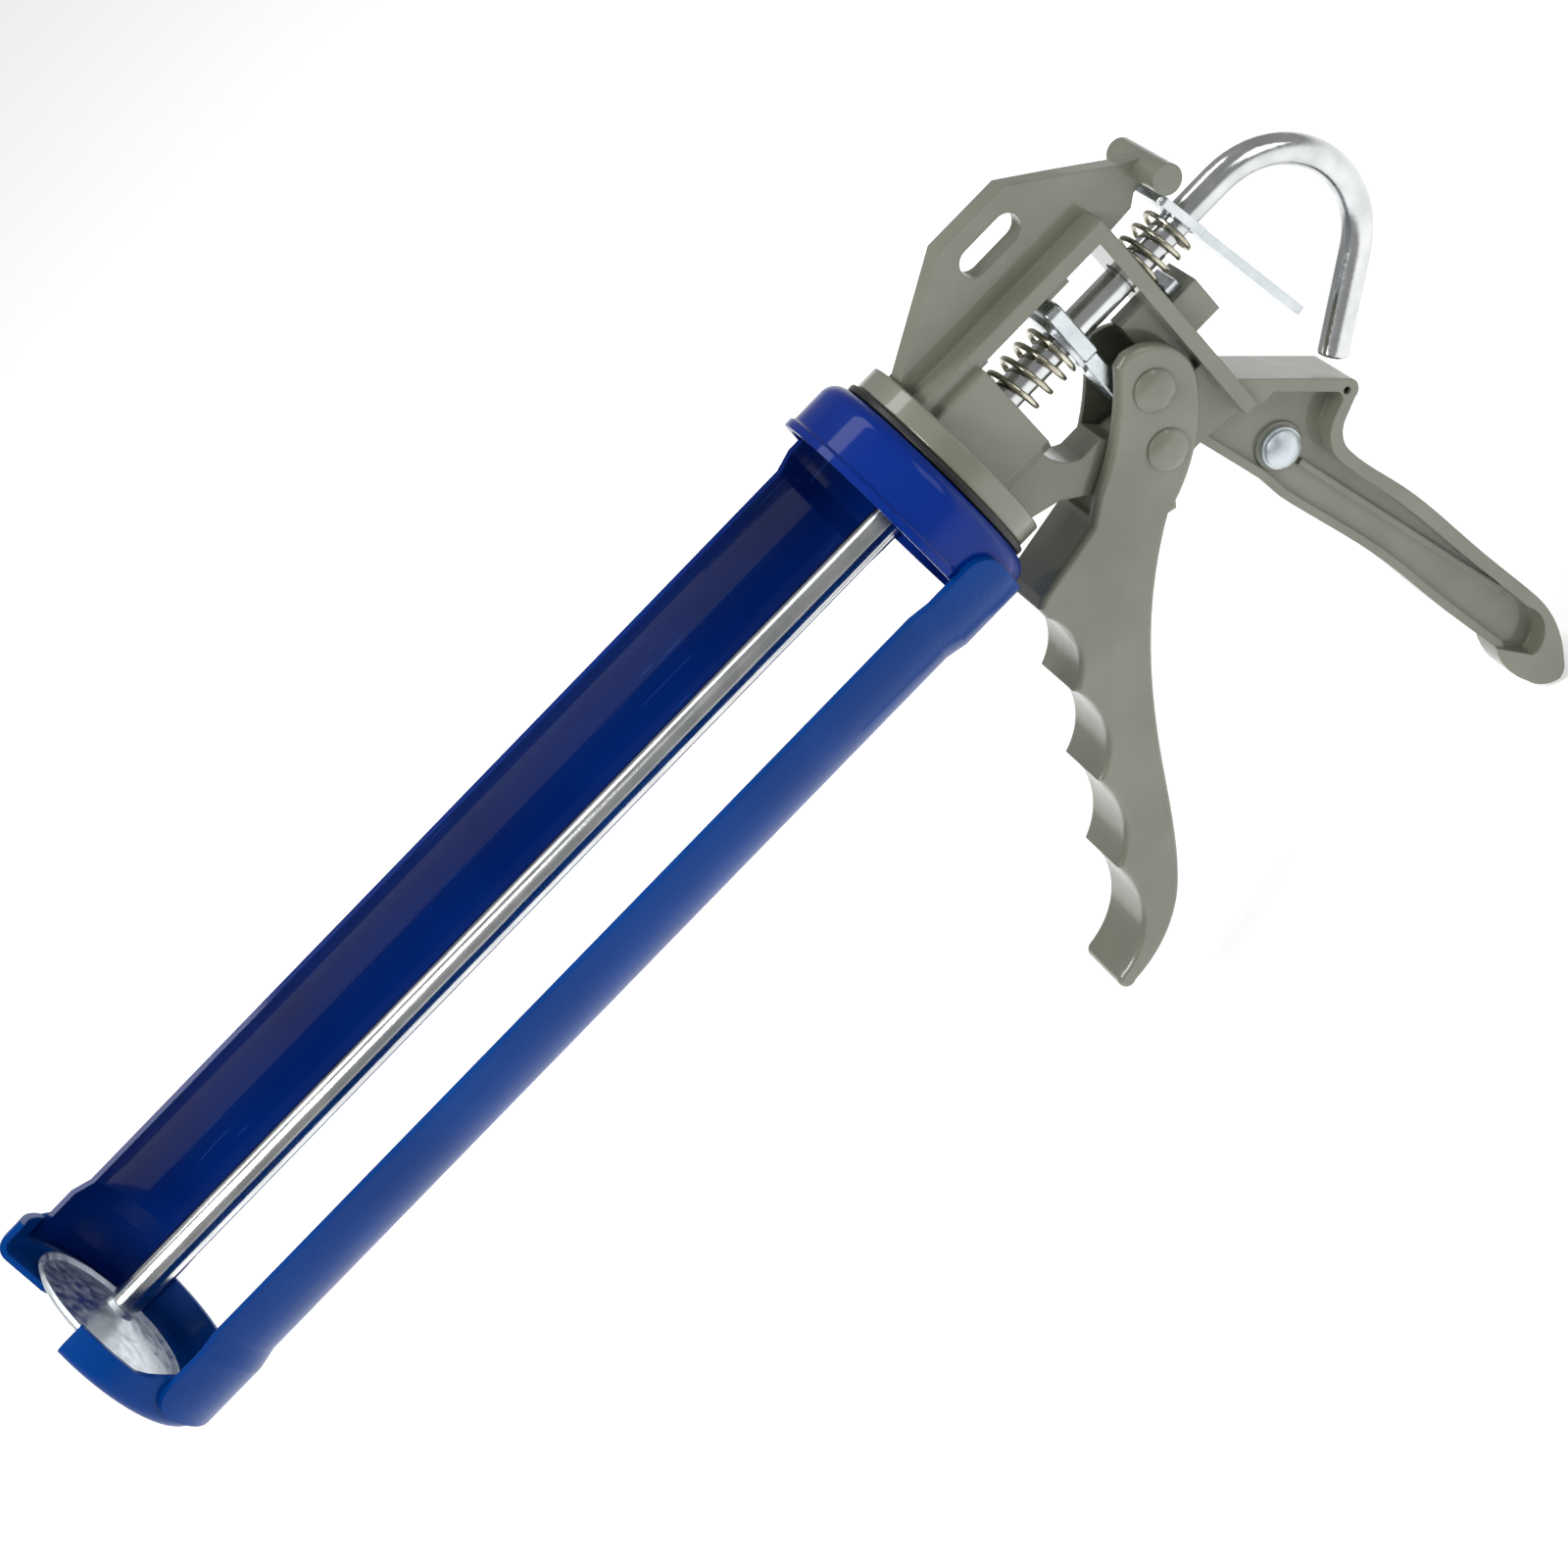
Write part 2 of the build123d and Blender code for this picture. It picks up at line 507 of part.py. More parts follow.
# ---------------------------------------------------------------- pins


def domed_pin(x, y, shaft_r, half_length, head_r, head_h, land=0.5):
    """A pin across the gun with a domed head at each end."""
    middle = (x - GRIP_BACK, 0, y + GRIP_DROP)
    plane = Plane(origin=middle, x_dir=(1, 0, 0), z_dir=(0, 0, 1))
    top = half_length + head_h
    rim = half_length + land
    rise = head_h - land
    dome_r = (head_r ** 2 + rise ** 2) / (2 * rise)
    with BuildPart() as pin:
        with BuildSketch(plane):
            with BuildLine():
                Polyline((0, -top), (0, top))
                RadiusArc((0, top), (head_r, rim), dome_r)
                Polyline((head_r, rim), (head_r, half_length), (shaft_r, half_length), (shaft_r, -half_length),
                         (head_r, -half_length), (head_r, -rim))
                RadiusArc((head_r, -rim), (0, -top), dome_r)
            make_face()
        revolve(axis=Axis(middle, (0, 1, 0)))
    return pin


pivot_pin = domed_pin(PIVOT_X, PIVOT_Y, PIN_D / 2, CHEEK_OUT, PIN_HEAD_R, PIN_HEAD_H)
save(pivot_pin.part, "trigger_pivot_pin")
push_pin = domed_pin(PUSH_X, PUSH_Y, PIN_D / 2, CHEEK_OUT, PIN_HEAD_R, PIN_HEAD_H)
save(push_pin.part, "trigger_push_pin")

HANDLE_BOSS = HANDLE_WEB_T / 2 + 0.8
WASHER_2_T = 1.2
with BuildPart() as handle_washers:
    for plane_w, direction in ((HANDLE_BOSS, 1), (-HANDLE_BOSS, -1)):
        with BuildSketch(side(plane_w)):
            with Locations((HANDLE_PIN_X, HANDLE_PIN_Y)):
                Circle(HANDLE_PIN_HEAD_R + 0.5)
                Circle(HANDLE_PIN_D / 2, mode=Mode.SUBTRACT)
        extrude(amount=direction * WASHER_2_T)
save(handle_washers.part, "handle_pin_washers")
handle_pin = domed_pin(HANDLE_PIN_X, HANDLE_PIN_Y, HANDLE_PIN_D / 2, HANDLE_BOSS + WASHER_2_T,
                       HANDLE_PIN_HEAD_R, 2.6, land=0.9)
save(handle_pin.part, "handle_pin")

# ---------------------------------------------------------------- trigger


def finger_front(shift_x, shift_y):
    """The trigger's front from its nose to its tip, with three finger grooves, moved by a shift."""
    def at(x, y):
        return (x + shift_x, y + shift_y)
    Polyline(at(31.0, -33.6), at(12.6, -37.4), at(10.2, -39.0), at(10.2, -42.6))
    ThreePointArc(at(10.2, -42.6), at(10.7, -53.4), at(3.2, -61.2))
    ThreePointArc(at(3.2, -61.2), at(2.8, -74.4), at(-6.8, -83.4))
    ThreePointArc(at(-6.8, -83.4), at(-8.6, -96.0), at(-17.6, -105.0))
    ThreePointArc(at(-17.6, -105.0), at(-21.2, -120.2), at(-34.5, -128.3))


WALL_SHIFT = (FRONT_WALL * 0.877, -FRONT_WALL * 0.48)

with BuildPart() as trigger:
    with BuildSketch(side()):
        with BuildLine():
            finger_front(0, 0)
            ThreePointArc((-34.5, -128.3), (-36.6, -130.9), (-33.0, -132.6))
            ThreePointArc((-33.0, -132.6), (-20.8, -129.5), (-9.9, -121.0))
            Spline((-9.9, -121.0), (8.3, -90.3), (29.2, -60.3), (45.2, -46.0),
                   tangents=[(0.72, 0.9), (1, 0.72)])
            Polyline((45.2, -46.0), (47.4, -46.6), (48.4, -45.0))
            ThreePointArc((48.4, -45.0), (61.2, -36.8), (69.6, -25.8))
            ThreePointArc((69.6, -25.8), (67.9, -13.2), (60.4, -8.8))
            Line((60.4, -8.8), (57.6, -9.6))
            ThreePointArc((57.6, -9.6), (47.6, -21.2), (36.6, -29.0))
            Line((36.6, -29.0), (31.0, -33.6))
        make_face()
    extrude(amount=CHEEK_OUT, both=True)
    outer_faces = trigger.faces().filter_by(Axis.Y)
    fillet(outer_faces.edges(), TRIGGER_EDGE)
    # hollow between the cheeks, open to the rear and above the front wall
    with BuildSketch(side()):
        with BuildLine():
            finger_front(*WALL_SHIFT)
            Polyline((WALL_SHIFT[0] - 34.5, WALL_SHIFT[1] - 128.3), (-14.0, -136.0), (60.0, -60.0), (80.0, -30.0),
                     (74.0, 0.0), (50.0, 0.0), (27.0, -24.0), (31.0 + WALL_SHIFT[0], -33.6 + WALL_SHIFT[1]))
        make_face()
    extrude(amount=CHEEK_OUT - CHEEK_T, both=True, mode=Mode.SUBTRACT)
    with BuildSketch(side()):
        with Locations((PIVOT_X, PIVOT_Y), (PUSH_X, PUSH_Y)):
            Circle(PIN_D / 2)
    extrude(amount=CHEEK_OUT + 1, both=True, mode=Mode.SUBTRACT)
save(trigger.part, "trigger")

# ---------------------------------------------------------------- rod, disc and plates

ROD_FRONT = DISC_X + HUB_LENGTH + 0.6           # where the rod is turned down
HUB_BACK = ROD_FRONT - FACE_GAP
DISC_FRONT = HUB_BACK - HUB_NECK - DISC_T
HEAD_X = DISC_FRONT - PLUNGER_WASHER_T - FACE_GAP
TIP_HOLE_R = ROD_TIP_D / 2 + TURN_GAP

with BuildPart() as push_rod:
    with BuildLine() as rod_path:
        Line((ROD_FRONT - GRIP_BACK, 0, GRIP_DROP), (HOOK_START - GRIP_BACK, 0, GRIP_DROP))
        bend = TangentArc((HOOK_START - GRIP_BACK, 0, GRIP_DROP),
                          (HOOK_START + HOOK_BEND_R * sin(radians(HOOK_TURN)) - GRIP_BACK, 0,
                           GRIP_DROP - HOOK_BEND_R * (1 - cos(radians(HOOK_TURN)))), tangent=(1, 0, 0))
        Line(bend @ 1, (bend @ 1) + (bend % 1) * HOOK_LEG)
    with BuildSketch(Plane(origin=rod_path.line @ 0, z_dir=rod_path.line % 0)):
        Circle(ROD_R)
    sweep()
    fillet(push_rod.edges().filter_by(GeomType.CIRCLE).sort_by(Axis.Z)[0], 0.8)
    # turned-down front end with its peened head
    with BuildSketch(side()):
        with BuildLine():
            Polyline((ROD_FRONT + 0.6, 0), (ROD_FRONT + 0.6, ROD_TIP_D / 2), (HEAD_X, ROD_TIP_D / 2),
                     (HEAD_X, ROD_HEAD_R), (HEAD_X - ROD_HEAD_H * 0.4, ROD_HEAD_R),
                     (HEAD_X - ROD_HEAD_H * 0.9, ROD_HEAD_R - 1.2), (HEAD_X - ROD_HEAD_H, 0), (ROD_FRONT + 0.6, 0))
        make_face()
    revolve(axis=ROD_AXIS)
save(push_rod.part, "push_rod")

with BuildPart() as disc:
    with BuildSketch(side()):
        with BuildLine():
            Polyline((HUB_BACK, TIP_HOLE_R), (HUB_BACK, HUB_R), (HUB_BACK - 1.4, HUB_R + 0.3))
            ThreePointArc((HUB_BACK - 1.4, HUB_R + 0.3), (HUB_BACK - 2.6, HUB_R + 2.2), (HUB_BACK - 3.1, HUB_R + 5.0))
            Polyline((HUB_BACK - 3.1, HUB_R + 5.0), (DISC_X - 0.9, DISC_R - 1.6), (DISC_X, DISC_R - 0.4),
                     (DISC_X, DISC_R), (DISC_X - DISC_T * 0.8, DISC_R), (DISC_X - 0.9 - DISC_T, DISC_R - 1.6),
                     (DISC_FRONT, HUB_R + 4.0), (DISC_FRONT, TIP_HOLE_R), (HUB_BACK, TIP_HOLE_R))
        make_face()
    revolve(axis=ROD_AXIS)
save(disc.part, "plunger_disc")

with BuildPart() as plunger_washer:
    with BuildSketch(across(HEAD_X + FACE_GAP)):
        Circle(PLUNGER_WASHER_R)
        Circle(TIP_HOLE_R, mode=Mode.SUBTRACT)
    extrude(amount=PLUNGER_WASHER_T)
save(plunger_washer.part, "plunger_washer")

DRIVE_BACK = PUSH_X - PIN_D / 2 - DRIVE_GAP
DRIVE_X = DRIVE_BACK - DRIVE_T
PLATE_HOLE_R = ROD_R + 0.35
with BuildPart() as drive_plate:
    with BuildSketch(across(DRIVE_X)):
        with Locations((0, (DRIVE_TOP + DRIVE_SHOULDER) / 2)):
            RectangleRounded(2 * DRIVE_HALF_W, DRIVE_TOP - DRIVE_SHOULDER, 2.0)
        with Locations((0, (DRIVE_SHOULDER + 2 + TONGUE_BOTTOM) / 2)):
            Rectangle(2 * TONGUE_HALF_W, DRIVE_SHOULDER + 2 - TONGUE_BOTTOM)
        Circle(PLATE_HOLE_R, mode=Mode.SUBTRACT)
    extrude(amount=DRIVE_T)
    chamfer(drive_plate.faces().filter_by(Axis.X).edges().filter_by(GeomType.LINE), 0.4)
save(drive_plate.part, "drive_plate")

with BuildPart() as drive_washer:
    with BuildSketch(across(DRIVE_X - DRIVE_WASHER_T)):
        Circle(DRIVE_WASHER_R)
        Circle(PLATE_HOLE_R, mode=Mode.SUBTRACT)
    extrude(amount=DRIVE_WASHER_T)
save(drive_washer.part, "drive_washer")

TILT = radians(CATCH_TILT)
CATCH_REAR_Y = CATCH_TOP + CATCH_T * sin(TILT) / 2              # rear corner of the plate's top
CATCH_REAR_X = HOOK_BAR_X - sqrt((HOOK_BAR_R + CATCH_GAP) ** 2 - (HOOK_BAR_Y - CATCH_REAR_Y) ** 2)
CATCH_X = CATCH_REAR_X - CATCH_T * cos(TILT) / 2                # middle of the plate's top
CATCH_PLANE = Plane(origin=(CATCH_X - GRIP_BACK, 0, CATCH_TOP + GRIP_DROP), x_dir=(0, 1, 0),
                    z_dir=(cos(TILT), 0, sin(TILT)))
CATCH_ROD = CATCH_TOP / cos(TILT)                               # from the plate's top down to the rod
with BuildPart() as catch_plate:
    with BuildSketch(CATCH_PLANE):
        with Locations((0, -CATCH_TAB_START / 2)):
            RectangleRounded(2 * CATCH_HALF_W, CATCH_TAB_START, 1.5)
        with Locations((0, -(CATCH_TAB_START - 3 + CATCH_LENGTH) / 2)):
            RectangleRounded(2 * CATCH_TAB_HALF_W, CATCH_LENGTH - CATCH_TAB_START + 3, 1.2)
        with Locations((0, -CATCH_ROD)):
            Circle(ROD_R + 0.75, mode=Mode.SUBTRACT)
    extrude(amount=CATCH_T / 2, both=True)
save(catch_plate.part, "catch_plate")

# ---------------------------------------------------------------- springs


def coil(start, end, radius, wire, turns):
    """A round-wire spring about the rod's axis, from start to end along x."""
    pitch = (end - start - wire) / turns
    with BuildPart() as spring:
        with BuildLine() as path:
            Helix(pitch=pitch, height=pitch * turns, radius=radius - wire / 2,
                  center=(start + wire / 2 - GRIP_BACK, 0, GRIP_DROP), direction=(1, 0, 0))
        with BuildSketch(Plane(origin=path.line @ 0, z_dir=path.line % 0)):
            Circle(wire / 2)
        sweep(is_frenet=True)
    return spring


return_spring = coil(BOSS_BACK - SPRING_SEAT_DEPTH + 0.3, DRIVE_X - DRIVE_WASHER_T - 0.3, RETURN_SPRING_R,
                     RETURN_WIRE, RETURN_TURNS)
save(return_spring.part, "return_spring")
CATCH_FACE = CATCH_X + (CATCH_TOP - CATCH_SPRING_R) * tan(TILT) - CATCH_T / cos(TILT) / 2
catch_spring = coil(WALL_BACK + 0.3, CATCH_FACE - 0.3, CATCH_SPRING_R, CATCH_WIRE, CATCH_TURNS)
save(catch_spring.part, "catch_spring")
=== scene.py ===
"""Skeleton caulking gun: finishes, coil springs, joining marks, floor, light and camera."""
from __future__ import annotations

import json
import logging
from dataclasses import dataclass, field
from enum import Enum

import bmesh
import bpy
import numpy as np
from mathutils import Matrix, Vector

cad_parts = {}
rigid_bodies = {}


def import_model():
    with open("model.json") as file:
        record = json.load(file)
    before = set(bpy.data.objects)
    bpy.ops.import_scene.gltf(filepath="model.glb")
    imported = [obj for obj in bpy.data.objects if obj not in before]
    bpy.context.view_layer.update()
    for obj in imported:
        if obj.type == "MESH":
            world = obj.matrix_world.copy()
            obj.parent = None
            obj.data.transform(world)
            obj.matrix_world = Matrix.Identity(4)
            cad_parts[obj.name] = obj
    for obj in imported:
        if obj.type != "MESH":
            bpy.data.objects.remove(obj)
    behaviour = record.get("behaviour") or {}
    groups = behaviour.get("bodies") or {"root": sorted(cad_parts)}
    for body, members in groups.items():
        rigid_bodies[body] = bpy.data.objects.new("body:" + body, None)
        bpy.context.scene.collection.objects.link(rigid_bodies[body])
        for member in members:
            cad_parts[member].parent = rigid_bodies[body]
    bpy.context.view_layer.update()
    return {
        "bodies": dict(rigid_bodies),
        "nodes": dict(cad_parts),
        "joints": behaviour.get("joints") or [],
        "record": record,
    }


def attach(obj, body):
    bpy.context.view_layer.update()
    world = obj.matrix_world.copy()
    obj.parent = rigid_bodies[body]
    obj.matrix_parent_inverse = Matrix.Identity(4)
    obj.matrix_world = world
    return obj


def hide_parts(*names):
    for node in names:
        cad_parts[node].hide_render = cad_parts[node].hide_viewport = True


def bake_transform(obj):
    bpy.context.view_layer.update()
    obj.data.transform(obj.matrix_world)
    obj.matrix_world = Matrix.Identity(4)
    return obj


LOG = logging.getLogger("caulking_gun")
GRIP_BACK = 0.083   # metres from the collar's front rim back to the middle of the grip
GRIP_DROP = 0.100   # metres from the rod's axis down to the middle of the grip
CAP_RINGS = 5       # rings that round off each end of a spring's wire
MARK_RINGS, MARK_SPOKES = 10, 28    # grid of a weld mark


# ---------------------------------------------------------------- helpers


def linear(code: str) -> tuple[float, float, float, float]:
    """Turn an sRGB hex colour into the linear colour a shader takes.

    Args:
        code: Six hex digits, with or without a leading #.

    Returns:
        Red, green, blue and an alpha of one.
    """
    raw = np.array([int(code.lstrip("#")[i:i + 2], 16) for i in (0, 2, 4)]) / 255
    rgb = np.where(raw <= 0.04045, raw / 12.92, ((raw + 0.055) / 1.055) ** 2.4)
    return (float(rgb[0]), float(rgb[1]), float(rgb[2]), 1.0)


def per_metre(size_mm: float) -> float:
    """The pattern scale that gives features of a size in millimetres on Object coordinates."""
    return 1000.0 / size_mm


def add_node(tree: bpy.types.NodeTree, kind: str, inputs: dict | None = None,
             **settings: object) -> bpy.types.Node:
    """Add one shader node with its settings, values and links.

    Args:
        tree: The material's node tree.
        kind: The node's type name.
        inputs: Socket name or number to a value, or to the socket that feeds it.
        settings: Properties of the node itself.

    Returns:
        The new node.
    """
    node = tree.nodes.new(kind)
    for name, value in settings.items():
        setattr(node, name, value)
    for key, value in (inputs or {}).items():
        if isinstance(value, bpy.types.NodeSocket):
            tree.links.new(value, node.inputs[key])
        else:
            node.inputs[key].default_value = value
    return node


def add_ramp(tree: bpy.types.NodeTree, factor: bpy.types.NodeSocket,
             stops: list[tuple[float, tuple[float, float, float, float]]]) -> bpy.types.NodeSocket:
    """Colour ramp from a factor through a list of (position, colour) stops; returns its colour socket."""
    ramp = add_node(tree, "ShaderNodeValToRGB", {"Fac": factor})
    elements = ramp.color_ramp.elements
    for _ in range(len(stops) - 2):
        elements.new(0.5)
    for element, (position, colour) in zip(elements, stops):
        element.position = position
        element.color = colour
    return ramp.outputs["Color"]


def grey(value: float) -> tuple[float, float, float, float]:
    """A neutral linear value as a colour."""
    return (value, value, value, 1.0)


def new_piece(name: str, points: np.ndarray, faces: np.ndarray) -> bpy.types.Object:
    """Make a smooth-shaded mesh object at the origin.

    Args:
        name: The piece's name.
        points: Points in metres, shape (n, 3).
        faces: Quads as point numbers, shape (m, 4), facing outwards.

    Returns:
        The new object, linked into the scene.
    """
    mesh = bpy.data.meshes.new(name)
    mesh.from_pydata(points.tolist(), [], faces.tolist())
    mesh.polygons.foreach_set("use_smooth", np.ones(len(mesh.polygons), dtype=bool))
    mesh.update()
    piece = bpy.data.objects.new(name, mesh)
    bpy.context.scene.collection.objects.link(piece)
    return piece


def grid_faces(rows: int, columns: int, closed: bool) -> np.ndarray:
    """Quads of a grid of points numbered row by row.

    Args:
        rows: Number of rings along the shape.
        columns: Number of points round each ring.
        closed: Whether each ring closes on itself.

    Returns:
        Point numbers, shape (m, 4).
    """
    row = np.arange(rows - 1)[:, None]
    column = np.arange(columns if closed else columns - 1)[None, :]
    after = (column + 1) % columns
    quads = np.stack([row * columns + column, (row + 1) * columns + column,
                      (row + 1) * columns + after, row * columns + after], axis=-1)
    return quads.reshape(-1, 4)


def dress(nodes: tuple[str, ...], material: bpy.types.Material, frame: dict) -> None:
    """Give CAD nodes a finish.

    Args:
        nodes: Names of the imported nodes.
        material: The finish.
    """
    for name in nodes:
        for holder in node_objects(frame, name):
            for slot in holder.material_slots:
                slot.material = material
            if not holder.material_slots:
                holder.data.materials.append(material)


def node_objects(frame: dict, name: str) -> list[bpy.types.Object]:
    """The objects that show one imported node."""
    found = frame["nodes"][name]
    return list(found) if isinstance(found, (list, tuple)) else [found]


# ---------------------------------------------------------------- finishes


class Lay(Enum):
    """Which way the fine lines of a metal surface run."""

    ALONG_ROD = (0.02, 1.0, 1.0)
    ALONG_WIRE = (0.35, 1.0, 1.0)
    NONE = (1.0, 1.0, 1.0)


def rounded_normal(tree: bpy.types.NodeTree, radius_mm: float) -> bpy.types.NodeSocket:
    """Normal that softens every edge by a radius, as paint or plating does."""
    bevel = add_node(tree, "ShaderNodeBevel", {"Radius": radius_mm / 1000}, samples=6)
    return bevel.outputs["Normal"]


@dataclass(frozen=True)
class StovedEnamel:
    """Stoved gloss enamel, sprayed on pressed sheet steel.

    It gives a deep colour under a mirror-like skin, a very slight orange peel, softened sheet edges that
    catch a thin line of light, and on the inside of the trough hair-fine scratches along the rod.
    """

    name: str
    colour: str
    shade: str
    roughness: float = 0.34
    peel_mm: float = 2.6
    gloss: float = 0.30
    scratched: bool = False

    def make(self) -> bpy.types.Material:
        """Build the material."""
        material = bpy.data.materials.new(self.name)
        material.use_nodes = True
        tree = material.node_tree
        shader = tree.nodes["Principled BSDF"]
        where = add_node(tree, "ShaderNodeTexCoord").outputs["Object"]
        cloud = add_node(tree, "ShaderNodeTexNoise",
                         {"Vector": where, "Scale": per_metre(38), "Detail": 2.0, "Roughness": 0.5})
        tone = add_ramp(tree, cloud.outputs["Fac"],
                        [(0.35, linear(self.shade)), (0.65, linear(self.colour))])
        peel = add_node(tree, "ShaderNodeTexNoise",
                        {"Vector": where, "Scale": per_metre(self.peel_mm), "Detail": 1.0})
        bump = add_node(tree, "ShaderNodeBump",
                        {"Strength": 0.10, "Distance": 0.0002, "Height": peel.outputs["Fac"],
                         "Normal": rounded_normal(tree, 0.55)})
        colour = tone
        if self.scratched:
            stretched = add_node(tree, "ShaderNodeMapping",
                                 {"Vector": where, "Scale": (0.030, 1.0, 1.0)})
            hair = add_node(tree, "ShaderNodeTexNoise",
                            {"Vector": stretched.outputs["Vector"], "Scale": per_metre(1.1), "Detail": 2.0,
                             "Distortion": 0.4})
            rubbed = add_node(tree, "ShaderNodeTexNoise",
                              {"Vector": where, "Scale": per_metre(30), "Detail": 1.0})
            thin = add_ramp(tree, hair.outputs["Fac"], [(0.67, grey(0.0)), (0.70, grey(1.0))])
            patch = add_ramp(tree, rubbed.outputs["Fac"], [(0.52, grey(0.0)), (0.62, grey(1.0))])
            where_worn = add_node(tree, "ShaderNodeMath", {0: thin, 1: patch}, operation="MULTIPLY")
            light = add_node(tree, "ShaderNodeMix",
                             {"Factor": where_worn.outputs[0], "A": tone, "B": linear("#2C4A94")},
                             data_type="RGBA")
            colour = light.outputs["Result"]
        tree.links.new(colour, shader.inputs["Base Color"])
        tree.links.new(bump.outputs["Normal"], shader.inputs["Normal"])
        shader.inputs["Roughness"].default_value = self.roughness
        shader.inputs["Specular IOR Level"].default_value = 0.05
        shader.inputs["Coat Weight"].default_value = self.gloss
        shader.inputs["Coat Roughness"].default_value = 0.05
        return material


@dataclass(frozen=True)
class PaintedDieCasting:
    """Gloss paint over a die-cast aluminium alloy.

    The skin is smooth but waves a little where the metal shrank, edges are soft, the colour pools darker
    in slow patches, and fine specks of grit sit under the paint.
    """

    name: str
    colour: str
    shade: str
    roughness: float = 0.38

    def make(self) -> bpy.types.Material:
        """Build the material."""
        material = bpy.data.materials.new(self.name)
        material.use_nodes = True
        tree = material.node_tree
        shader = tree.nodes["Principled BSDF"]
        where = add_node(tree, "ShaderNodeTexCoord").outputs["Object"]
        cloud = add_node(tree, "ShaderNodeTexNoise",
                         {"Vector": where, "Scale": per_metre(16), "Detail": 3.0})
        tone = add_ramp(tree, cloud.outputs["Fac"],
                        [(0.35, linear(self.shade)), (0.65, linear(self.colour))])
        swell = add_node(tree, "ShaderNodeTexNoise",
                         {"Vector": where, "Scale": per_metre(5.0), "Detail": 1.0})
        grit = add_node(tree, "ShaderNodeTexNoise",
                        {"Vector": where, "Scale": per_metre(0.9), "Detail": 2.0})
        low = add_node(tree, "ShaderNodeBump",
                       {"Strength": 0.30, "Distance": 0.0006, "Height": swell.outputs["Fac"],
                        "Normal": rounded_normal(tree, 0.8)})
        fine = add_node(tree, "ShaderNodeBump",
                        {"Strength": 0.05, "Distance": 0.0002, "Height": grit.outputs["Fac"],
                         "Normal": low.outputs["Normal"]})
        tree.links.new(tone, shader.inputs["Base Color"])
        tree.links.new(fine.outputs["Normal"], shader.inputs["Normal"])
        shader.inputs["Roughness"].default_value = self.roughness
        shader.inputs["Coat Weight"].default_value = 0.75
        shader.inputs["Coat Roughness"].default_value = 0.06
        return material


@dataclass(frozen=True)
class BrightZinc:
    """Bright zinc plating with a clear blue passivate, on drawn, stamped or coiled steel.

    It is a mirror with a grey cast that breaks into lines where the steel was drawn or rubbed, and it
    carries small dull patches and a few darker marks.
    """

    name: str
    colour: str
    shade: str
    roughness: float
    lay: Lay = Lay.NONE
    line_mm: float = 0.6
    rub: float = 0.25

    def make(self) -> bpy.types.Material:
        """Build the material."""
        material = bpy.data.materials.new(self.name)
        material.use_nodes = True
        tree = material.node_tree
        shader = tree.nodes["Principled BSDF"]
        where = add_node(tree, "ShaderNodeTexCoord").outputs["Object"]
        drawn = add_node(tree, "ShaderNodeMapping", {"Vector": where, "Scale": self.lay.value})
        lines = add_node(tree, "ShaderNodeTexNoise",
                         {"Vector": drawn.outputs["Vector"], "Scale": per_metre(self.line_mm), "Detail": 3.0})
        patches = add_node(tree, "ShaderNodeTexNoise",
                           {"Vector": where, "Scale": per_metre(9.0), "Detail": 2.0, "Roughness": 0.5})
        tone = add_ramp(tree, patches.outputs["Fac"],
                        [(0.38, linear(self.shade)), (0.62, linear(self.colour))])
        rough = add_node(tree, "ShaderNodeMapRange",
                         {"Value": lines.outputs["Fac"], "From Min": 0.3, "From Max": 0.7,
                          "To Min": self.roughness * 0.7, "To Max": self.roughness * 1.5})
        bump = add_node(tree, "ShaderNodeBump",
                        {"Strength": self.rub, "Distance": 0.00006, "Height": lines.outputs["Fac"],
                         "Normal": rounded_normal(tree, 0.3)})
        tree.links.new(tone, shader.inputs["Base Color"])
        tree.links.new(rough.outputs["Result"], shader.inputs["Roughness"])
        tree.links.new(bump.outputs["Normal"], shader.inputs["Normal"])
        shader.inputs["Metallic"].default_value = 1.0
        return material


@dataclass(frozen=True)
class MouldedAcetal:
    """Black acetal, injection moulded: a close, slightly waxy surface with a soft sheen."""

    name: str
    colour: str

    def make(self) -> bpy.types.Material:
        """Build the material."""
        material = bpy.data.materials.new(self.name)
        material.use_nodes = True
        tree = material.node_tree
        shader = tree.nodes["Principled BSDF"]
        where = add_node(tree, "ShaderNodeTexCoord").outputs["Object"]
        skin = add_node(tree, "ShaderNodeTexNoise",
                        {"Vector": where, "Scale": per_metre(1.2), "Detail": 3.0})
        tone = add_ramp(tree, skin.outputs["Fac"], [(0.3, linear("#0B0B0C")), (0.7, linear(self.colour))])
        bump = add_node(tree, "ShaderNodeBump",
                        {"Strength": 0.08, "Distance": 0.0001, "Height": skin.outputs["Fac"],
                         "Normal": rounded_normal(tree, 0.25)})
        tree.links.new(tone, shader.inputs["Base Color"])
        tree.links.new(bump.outputs["Normal"], shader.inputs["Normal"])
        shader.inputs["Roughness"].default_value = 0.42
        shader.inputs["IOR"].default_value = 1.48
        return material


# ---------------------------------------------------------------- sub-assemblies


